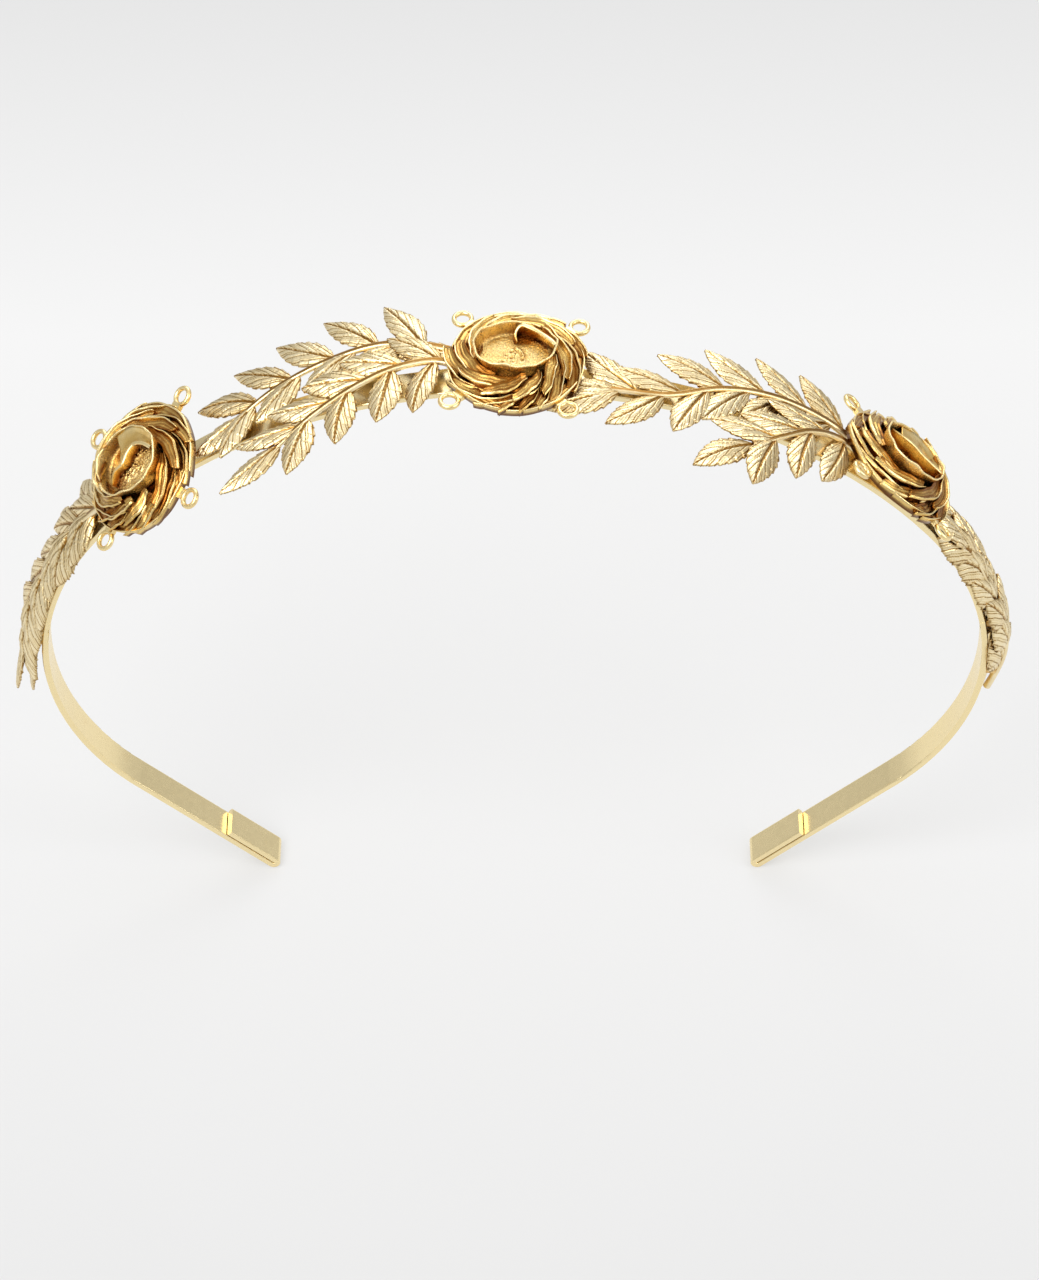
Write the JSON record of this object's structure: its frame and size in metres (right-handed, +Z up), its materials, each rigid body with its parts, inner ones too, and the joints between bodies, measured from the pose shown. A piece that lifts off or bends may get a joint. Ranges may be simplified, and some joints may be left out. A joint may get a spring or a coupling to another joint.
{
  "type": "bridal tiara",
  "caption": "Gold bridal tiara: a slim hemmed headband with leaf sprays and hollow roses soldered along it, each rose with small rings for hanging pearls.",
  "frame": {"origin": "on the surface that the band's two ends stand on, midway between them", "axes": "+X across the head, -Y is the front, +Z up"},
  "size_m": [0.1503, 0.0316, 0.1132],
  "materials": {
    "band": "polished pale gold plate",
    "leaves": "satin champagne gold plate with veins",
    "petals": "burnished gold plate, darker in the recesses",
    "rose_cups": "burnished gold plate with a granulated floor",
    "rose_plates": "cast gold plate",
    "loops": "polished gold plate",
    "solder": "plated solder, slightly lumpy"
  },
  "bodies": {
    "root": {"headband": "band", "rose_posts": "solder", "spray_tacks": "solder", "centre_rose_plate": "rose_plates", "centre_rose_loops": "loops", "centre_rose_outer_petals": "petals", "centre_rose_inner_petals": "petals", "centre_rose_cup": "rose_cups", "centre_rose_curled_petal": "rose_cups", "left_rose_plate": "rose_plates", "left_rose_loops": "loops", "left_rose_outer_petals": "petals", "left_rose_inner_petals": "petals", "left_rose_cup": "rose_cups", "left_rose_curled_petal": "rose_cups", "right_rose_plate": "rose_plates", "right_rose_loops": "loops", "right_rose_outer_petals": "petals", "right_rose_inner_petals": "petals", "right_rose_cup": "rose_cups", "right_rose_curled_petal": "rose_cups", "left_upper_spray": "leaves", "left_lower_spray": "leaves", "right_upper_spray": "leaves", "right_lower_spray": "leaves", "left_side_front_spray": "leaves", "left_side_back_spray": "leaves", "right_side_front_spray": "leaves", "right_side_back_spray": "leaves"}
  },
  "joints": []
}
